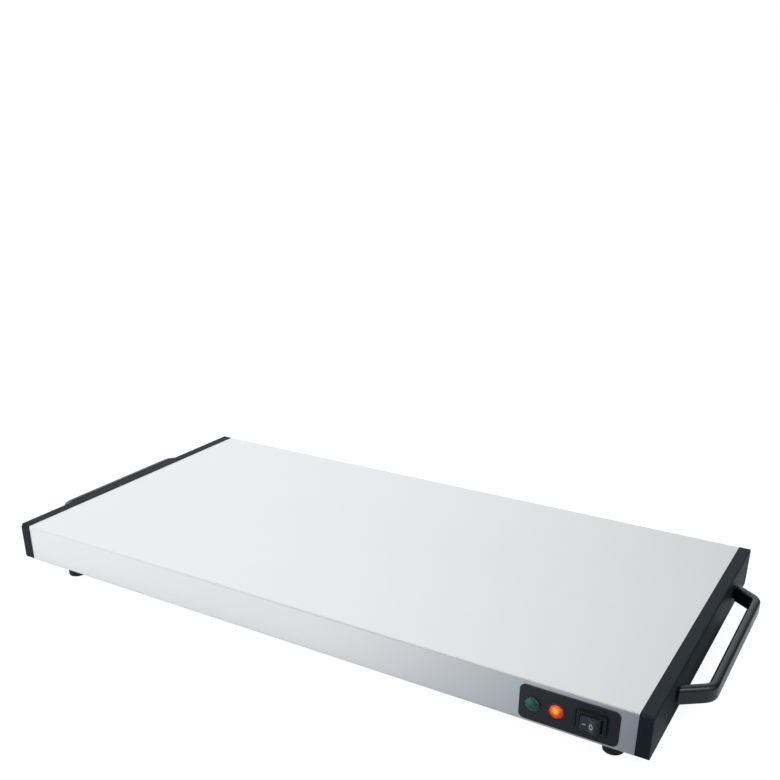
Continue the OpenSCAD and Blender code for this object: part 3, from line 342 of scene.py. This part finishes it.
# Sizes of grain, cloud, crystal and flake, and the depth of a grain, are in mm. Crystals and mica flakes have
# their real size. Rolling marks, plating, mould grain and the mat's fibres are under 0.1 mm on the real tray.
# That is too fine to show, so they are drawn several times coarser.
metalFinishes = {
    # satin anodised sheet: a pale even sheen, with faint rolling marks along its length
    "anodisedAluminium": {"dark": "#dfe0e2", "light": "#e2e3e5", "grain": (14.0, 0.8, 0.8),
                          "cloud": (160.0, 120.0, 120.0), "rough": (0.385, 0.405), "bump": 0.008},
    # drawing stretches the thermostat's cup: a soft shine with marks that run up the wall
    "drawnAluminium": {"dark": "#c4c6c8", "light": "#dfe0e2", "grain": (0.5, 0.5, 4.0),
                       "cloud": (8.0, 8.0, 8.0), "rough": (0.25, 0.4), "bump": 0.1},
    # bright zinc on screws and small pressings: a cool shine with a fine orange peel
    "zincPlatedSteel": {"dark": "#a9abae", "light": "#cfd0d2", "grain": (0.4, 0.4, 0.4),
                        "cloud": (3.0, 3.0, 3.0), "rough": (0.22, 0.38), "bump": 0.1},
    # the ribbon comes dark from its rolls, with lines along its length
    "rolledResistanceAlloy": {"dark": "#6c6a66", "light": "#8f8c86", "grain": (4.0, 0.4, 0.4),
                              "cloud": (20.0, 20.0, 20.0), "rough": (0.35, 0.5), "bump": 0.1},
    # stamped from rolled strip: warm yellow with short rolling lines
    "stampedBrass": {"dark": "#b48d45", "light": "#d9b76b", "grain": (1.5, 0.3, 0.3),
                     "cloud": (4.0, 4.0, 4.0), "rough": (0.25, 0.4), "bump": 0.1},
}
mouldedFinishes = {
    # glass-filled nylon, spark-eroded mould: a dull blue-black satin without a sharp highlight
    "capNylon": {"dark": "#242b30", "light": "#2c343a", "grain": 0.5, "depth": 0.03,
                 "rough": (0.44, 0.52), "bump": 0.35, "ior": 1.50, "gloss": 0.04},
    # phenolic pressed in a polished mould: the bow shows soft bright lines along its rounded edges
    "handlePhenolic": {"dark": "#0b1219", "light": "#111a22", "grain": 0.9, "depth": 0.02,
                       "rough": (0.2, 0.28), "bump": 0.1, "ior": 1.6, "gloss": 0.35},
    # carbon-filled rubber: matt black that hardly mirrors
    "footRubber": {"dark": "#08090a", "light": "#101113", "grain": 0.4, "depth": 0.03,
                   "rough": (0.6, 0.75), "bump": 0.4, "ior": 1.5, "gloss": 0.5},
    # injection moulded in a textured mould: black with a fine matt grain
    "bezelAbs": {"dark": "#13171c", "light": "#1a1f26", "grain": 0.35, "depth": 0.02,
                 "rough": (0.46, 0.55), "bump": 0.3, "ior": 1.54, "gloss": 0.5},
    # nylon moulded smoother than the bezel, for the switch's frame and the inlet: black with a little shine
    "switchNylon": {"dark": "#12151a", "light": "#191d23", "grain": 0.3, "depth": 0.015,
                    "rough": (0.38, 0.48), "bump": 0.25, "ior": 1.53, "gloss": 0.5},
    # nylon moulded in a satin mould: a dark grey rocker, whose grey is painted lighter than its frame to
    # stand for the light it catches: painted light
    "rockerNylon": {"dark": "#2c3238", "light": "#383f47", "grain": 0.3, "depth": 0.015,
                    "rough": (0.36, 0.46), "bump": 0.25, "ior": 1.53, "gloss": 0.5},
    # wood-filled phenolic, pressed: brown-black with faint specks
    "thermostatPhenolic": {"dark": "#2a1c14", "light": "#3a281d", "grain": 0.5, "depth": 0.03,
                           "rough": (0.35, 0.5), "bump": 0.3, "ior": 1.6, "gloss": 0.5},
    # extruded silicone insulation: dusty brick red
    "siliconeLead": {"dark": "#6e2418", "light": "#8a2f20", "grain": 0.4, "depth": 0.02,
                     "rough": (0.5, 0.6), "bump": 0.2, "ior": 1.42, "gloss": 0.5},
    # the bulbs' blown glass, seen only inside the lamps: smooth and pale
    "blownGlass": {"dark": "#c9cccc", "light": "#e2e4e4", "grain": 1.0, "depth": 0.01,
                   "rough": (0.05, 0.1), "bump": 0.1, "ior": 1.52, "gloss": 0.5},
    # the fuse's glaze has run smooth over its cream body: a wet gloss
    "glazedCeramic": {"dark": "#dcd6c6", "light": "#ece8dc", "grain": 1.0, "depth": 0.02,
                      "rough": (0.12, 0.2), "bump": 0.1, "ior": 1.55, "gloss": 0.5},
    # ink printed from a soft pad: flat and slightly grey
    "padPrintedWhite": {"dark": "#c3c7ca", "light": "#d6dadc", "grain": 0.3, "depth": 0.01,
                        "rough": (0.4, 0.5), "bump": 0.1, "ior": 1.5, "gloss": 0.5},
}
boardFinishes = {
    # mica flakes pressed to a board: golden, with a silky glint
    "pressedMica": {"dark": "#b09a6c", "light": "#cdbb8e", "flake": (3.0, 3.0, 3.0),
                    "rough": (0.3, 0.5), "bump": 0.3, "ior": 1.56},
    # glass fibre needled to a mat: matt cream strands that lie along it
    "needledGlassFibre": {"dark": "#c8bf9c", "light": "#e6dfc4", "flake": (6.0, 0.8, 2.0),
                          "rough": (0.85, 0.95), "bump": 1.0, "ior": 1.5},
    # steatite pressed and fired without a glaze: chalky, with a fine grain
    "steatite": {"dark": "#d8d3c4", "light": "#e8e4d8", "flake": (0.8, 0.8, 0.8),
                 "rough": (0.4, 0.55), "bump": 0.3, "ior": 1.55},
}
spangledFinishes = {
    # hot-dipped zinc on steel sheet: a grey mosaic of crystals
    "galvanisedSheet": {"dark": "#9a9ea2", "light": "#c3c7ca", "crystal": (7.0, 7.0, 7.0),
                        "grain": (0.8, 0.8, 0.8), "rough": (0.28, 0.42), "bump": 0.1},
}
lampFinishes = {
    # tinted acrylic from a polished mould, unlit: a sharp glint on the dome over deep green prisms
    "greenLensAcrylic": {"glass": "#b9e6de", "centre": "#3d8f84", "middle": "#2f7f74", "rim": "#1d5f57",
                         "facets": (0.5, 1.6), "glow": 0.0},
    # the same, lit from behind: yellow over the bulb, orange round it and red at the rim
    "orangeLensAcrylic": {"glass": "#ffdcae", "centre": "#ffd84a", "middle": "#ea6210", "rim": "#902806",
                          "facets": (0.7, 1.2), "glow": 0.5},
}
acrylic = {
    "ior": 1.49, "polish": 0.04, "prismRough": 0.12,  # roughness of the dome and of the prisms
    "swirl": (2.5, 2.5, 2.5), "swirlBump": (0.05, 0.0001),  # mm, then the bump's strength and depth in metres
    "facet": (0.9, 0.9, 0.9),  # mm
    "rings": (("middle", 0.12, 0.6), ("rim", 0.6, 1.25)),  # where each colour begins and is full, in radii
}


def makeLensGlass(name, settings):
    # Clear right through, with the faint swirl that the melt leaves in a thick moulding
    material, tree, shader = startMaterial(
        name, IOR=acrylic["ior"], Roughness=acrylic["polish"], Transmission_Weight=1.0,
        Base_Color=linearColour(settings["glass"]))
    swirl = addNode(tree, "TexNoise", {"Vector": patternPlace(tree, acrylic["swirl"]), **plainNoise})
    strength, distance = acrylic["swirlBump"]
    bump = addNode(tree, "Bump", {"Height": swirl.outputs["Fac"], "Strength": strength, "Distance": distance})
    tree.links.new(bump.outputs["Normal"], shader.inputs["Normal"])
    return material


def makePrismFace(name, settings, centre, radius):
    # Prisms moulded behind the lens: each facet has its own brightness, and the colour deepens to the rim
    material, tree, shader = startMaterial(name, IOR=acrylic["ior"], Roughness=acrylic["prismRough"])
    place = addNode(tree, "TexCoord").outputs["Object"]
    flat = addNode(tree, "VectorMath", {0: place, 1: (1.0, 0.0, 1.0)}, operation="MULTIPLY").outputs["Vector"]
    away = addNode(tree, "VectorMath", {0: flat, 1: centre}, operation="DISTANCE").outputs["Value"]
    body = linearColour(settings["centre"])
    for ring, begin, full in acrylic["rings"]:
        share = addNode(tree, "MapRange", {"Value": away, "From Min": radius * begin,
                                           "From Max": radius * full})
        body = addNode(tree, "Mix", {0: share.outputs[0], 6: body, 7: linearColour(settings[ring])},
                       data_type="RGBA").outputs[2]
    facet = addNode(tree, "TexVoronoi", {"Vector": patternPlace(tree, acrylic["facet"]), **plainNoise},
                    feature="F1")
    grey = addNode(tree, "SeparateColor", {0: facet.outputs["Color"]})
    low, high = settings["facets"]
    shade = addNode(tree, "MapRange", {"Value": grey.outputs[0], "To Min": low, "To Max": high}).outputs[0]
    tinted = addNode(tree, "VectorMath", {0: body, "Scale": shade}, operation="SCALE").outputs["Vector"]
    tree.links.new(tinted, shader.inputs["Base Color"])
    if settings["glow"]:
        tree.links.new(tinted, shader.inputs["Emission Color"])
        shader.inputs["Emission Strength"].default_value = settings["glow"]
    return material


finishes = {}
for maker, group in ((makeMetal, metalFinishes), (makeMoulded, mouldedFinishes),
                     (makeBoard, boardFinishes), (makeSpangled, spangledFinishes)):
    for name, settings in group.items():
        finishes[name] = maker(name, settings)
for name, settings in lampFinishes.items():
    finishes[name] = makeLensGlass(name, settings)
print("materials made:", len(finishes))

slotFinishes = {
    "anodised_aluminium": "anodisedAluminium", "galvanised_steel": "galvanisedSheet",
    "cap_plastic": "capNylon", "handle_plastic": "handlePhenolic", "zinc_steel": "zincPlatedSteel",
    "foot_rubber": "footRubber", "mica": "pressedMica", "resistance_alloy": "rolledResistanceAlloy",
    "brass": "stampedBrass", "glass_fibre": "needledGlassFibre", "phenolic": "thermostatPhenolic",
    "aluminium_cup": "drawnAluminium", "fuse_ceramic": "glazedCeramic", "block_ceramic": "steatite",
    "bezel_plastic": "bezelAbs", "lamp_glass": "blownGlass", "switch_nylon": "switchNylon",
    "rocker_plastic": "rockerNylon", "lead_insulation": "siliconeLead",
}
slotOf = {part["node"]: part["material_slot"] for part in frame["record"]["subparts"]}
for name, node in frame["nodes"].items():
    finish = slotFinishes.get(slotOf[name])
    if finish:  # the two lenses have none, because new pieces replace them
        for slot in node.material_slots:
            slot.material = finishes[finish]
print("finishes given to the packed solids")


def finishPiece(shape, name, material, body):  # turns a bmesh into a piece that rides on a body
    bmesh.ops.recalc_face_normals(shape, faces=shape.faces)
    mesh = bpy.data.meshes.new(name)
    shape.to_mesh(mesh)
    shape.free()
    mesh.materials.append(material)
    piece = bpy.data.objects.new(name, mesh)
    bpy.context.scene.collection.objects.link(piece)
    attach(piece, body)
    return piece


mergeDistance = 1e-6  # metres


def spinProfile(shape, points, steps):  # turns an outline of radius and height about Z
    verts = [shape.verts.new((radius / 1000, 0, height / 1000)) for radius, height in points]
    edges = [shape.edges.new(pair) for pair in zip(verts, verts[1:])]
    bmesh.ops.spin(shape, geom=verts + edges, cent=(0, 0, 0), axis=(0, 0, 1), dvec=(0, 0, 0),
                   angle=math.tau, steps=steps, use_merge=True, use_duplicate=False)
    bmesh.ops.remove_doubles(shape, verts=shape.verts, dist=mergeDistance)


def facingFront(x, y, z):  # places what was drawn about Z on the front, with its top towards -Y
    return Matrix.Translation(toMetres(x, y, z)) @ Matrix.Rotation(math.radians(90), 4, "X")


# The moulded pieces get the small edge radius, in mm, that every mould leaves
softEdges = {
    "control_bezel": {"piece": "bezelMoulding", "body": "tray", "slot": "bezel_plastic", "radius": 0.3},
    "switch_frame": {"piece": "switchFrameMoulding", "body": "tray", "slot": "switch_nylon", "radius": 0.25},
    "switch_rocker": {"piece": "rockerMoulding", "body": "rocker", "slot": "rocker_plastic", "radius": 0.35},
    "cord_inlet": {"piece": "inletMoulding", "body": "tray", "slot": "switch_nylon", "radius": 0.25},
}


edgeRound = {
    "flatTurn": 0.5,  # degrees, below which two faces are one
    "sharpTurn": 35.0,  # degrees, above which an edge is rounded
    "segments": 3,
}


def softenEdges(node, settings):
    shape = bmesh.new()
    shape.from_mesh(frame["nodes"][node].data)
    bmesh.ops.remove_doubles(shape, verts=shape.verts, dist=mergeDistance)
    bmesh.ops.dissolve_limit(shape, angle_limit=math.radians(edgeRound["flatTurn"]), verts=shape.verts,
                             edges=shape.edges)
    sharp = [edge for edge in shape.edges if len(edge.link_faces) == 2
             and edge.calc_face_angle() > math.radians(edgeRound["sharpTurn"])]
    bmesh.ops.bevel(shape, geom=sharp, offset=settings["radius"] / 1000, affect="EDGES",
                    segments=edgeRound["segments"], profile=0.5, material=-1, clamp_overlap=True)
    for face in shape.faces:
        face.smooth = True
    piece = finishPiece(shape, settings["piece"], finishes[slotFinishes[settings["slot"]]],
                        settings["body"])
    if "custom_normal" in piece.data.attributes:  # the node's own shading, which no longer fits
        piece.data.attributes.remove(piece.data.attributes["custom_normal"])
    piece.modifiers.new("evenShading", "WEIGHTED_NORMAL").keep_sharp = True
    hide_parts(node)


for node, settings in softEdges.items():
    softenEdges(node, settings)
print("edges softened on", len(softEdges), "mouldings")


pilotLamps = {
    "green_lamp_lens": {"lens": "greenLens", "prisms": "greenPrisms", "finish": "greenLensAcrylic",
                        "slot": "green_lens", "x": 216.4},
    "orange_lamp_lens": {"lens": "orangeLens", "prisms": "orangePrisms", "finish": "orangeLensAcrylic",
                         "slot": "orange_lens", "x": 234.1},
}
# Lengths in mm. A clear dome on a flange and a hollow barrel, with faceted prisms right under the dome.
lampShape = {
    "faceY": -149.05, "z": 25.2,  # the bezel's face, and the lamps' height
    "flange": 6.1, "flangeThick": 0.8, "flangeEdge": 0.25, "domeEdge": 5.5, "dome": 2.6,
    "barrel": 5.5, "barrelLength": 18.0, "wall": 0.8,
    "seat": 0.9,  # how far in front of the flange's back the barrel's bore ends
    "arcSteps": 12, "spinSteps": 64,
    "sharpTurn": 30.0,  # degrees, above which an edge of the lens stays crisp
    "prismRings": 7, "prismSides": 20, "prismReach": 5.0, "prismHeight": 0.25,
    "prismDepth": 0.55, "prismBack": 0.1,  # how far under the dome the prisms lie, and where their back is
    "prismFacing": 0.5,  # faces that look forward more than this carry a prism
    "glowRise": 2.0,  # how far above the lens's middle the bulb's glow sits
}


def makePilotLamp(node, lamp, shape):
    sphere = (shape["domeEdge"] ** 2 + shape["dome"] ** 2) / (2 * shape["dome"])
    reach = math.asin(shape["domeEdge"] / sphere)
    rim, edge, thick = shape["flange"], shape["flangeEdge"], shape["flangeThick"]
    barrel, bore, back = shape["barrel"], shape["barrel"] - shape["wall"], -shape["barrelLength"]
    top = thick + shape["dome"]
    place = facingFront(lamp["x"], shape["faceY"], shape["z"])
    points = []
    for step in range(shape["arcSteps"] + 1):
        turn = reach * step / shape["arcSteps"]
        points.append((sphere * math.sin(turn), top - sphere * (1 - math.cos(turn))))
    points += [(rim - edge, thick), (rim - edge / 3, thick - edge / 3), (rim, thick - edge), (rim, 0),
               (barrel, 0), (barrel, back), (bore, back), (bore, shape["seat"]), (0, shape["seat"])]
    lens = bmesh.new()
    spinProfile(lens, points, shape["spinSteps"])
    bmesh.ops.transform(lens, matrix=place, verts=lens.verts)
    for face in lens.faces:
        face.smooth = True
    for meshEdge in lens.edges:
        if len(meshEdge.link_faces) == 2 and meshEdge.calc_face_angle() > math.radians(shape["sharpTurn"]):
            meshEdge.smooth = False
    piece = finishPiece(lens, lamp["lens"], finishes[lamp["finish"]], "tray")
    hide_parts(node)

    points = []
    for ring in range(shape["prismRings"] + 1):
        radius = shape["prismReach"] * ring / shape["prismRings"]
        points.append((radius, top - sphere + math.sqrt(sphere ** 2 - radius ** 2) - shape["prismDepth"]))
    points += [(shape["prismReach"], shape["prismBack"]), (0, shape["prismBack"])]
    prisms = bmesh.new()
    spinProfile(prisms, points, shape["prismSides"])
    bmesh.ops.recalc_face_normals(prisms, faces=prisms.faces)
    front = [face for face in prisms.faces if face.normal.z > shape["prismFacing"]]
    bmesh.ops.poke(prisms, faces=front, offset=shape["prismHeight"] / 1000)
    bmesh.ops.transform(prisms, matrix=place, verts=prisms.verts)
    centre = toMetres(lamp["x"], 0, shape["z"] + shape["glowRise"])
    finish = makePrismFace(lamp["finish"] + "Prisms", lampFinishes[lamp["finish"]], centre,
                           shape["prismReach"] / 1000)
    finishPiece(prisms, lamp["prisms"], finish, "tray")


for node, lamp in pilotLamps.items():
    makePilotLamp(node, lamp, lampShape)
print("pilot lamps made")


# The two marks stand a little proud of the rocker's wings, printed in white. Lengths in mm, turns in degrees.
rockerShape = {
    "pivot": (259.2, -146.05, 25.2),
    "restTurn": -10.0,
    "valley": 7.0,  # how far in front of the pivot the two wings meet
    "wing": 20.0, "wingLength": 5.4,  # a wing's slope and its length
    "height": 0.14,
    "dash": (2.4, 0.7),
    "ring": (1.75, 1.15), "ringStretch": 1.25, "ringSteps": 40,  # outer and inner radius
}


def makeRockerMarks(settings):
    pivot = Matrix.Translation(toMetres(*settings["pivot"]))
    turn = pivot @ Matrix.Rotation(math.radians(settings["restTurn"]), 4, "Z")
    upright = Matrix.Rotation(math.radians(90), 4, "X")
    reach = settings["wingLength"] / 2
    front = -settings["valley"] - reach * math.tan(math.radians(settings["wing"]))
    high = settings["height"]
    for name, side in (("dashMark", -1), ("ringMark", 1)):
        shape = bmesh.new()
        if name == "dashMark":
            bmesh.ops.create_cube(shape, size=1)
            bmesh.ops.scale(shape, vec=toMetres(*settings["dash"], 2 * high), verts=shape.verts)
        else:
            outer, inner = settings["ring"]
            outline = [(inner, -high), (outer, -high), (outer, high), (inner, high), (inner, -high)]
            spinProfile(shape, outline, settings["ringSteps"])
            bmesh.ops.scale(shape, vec=(1, settings["ringStretch"], 1), verts=shape.verts)
        lean = Matrix.Rotation(math.radians(-side * settings["wing"]), 4, "Z")
        wing = Matrix.Translation(toMetres(side * reach, front, 0)) @ lean @ upright
        bmesh.ops.transform(shape, matrix=turn @ wing, verts=shape.verts)
        finishPiece(shape, name, finishes["padPrintedWhite"], "rocker")


makeRockerMarks(rockerShape)
print("marks made on the rocker")
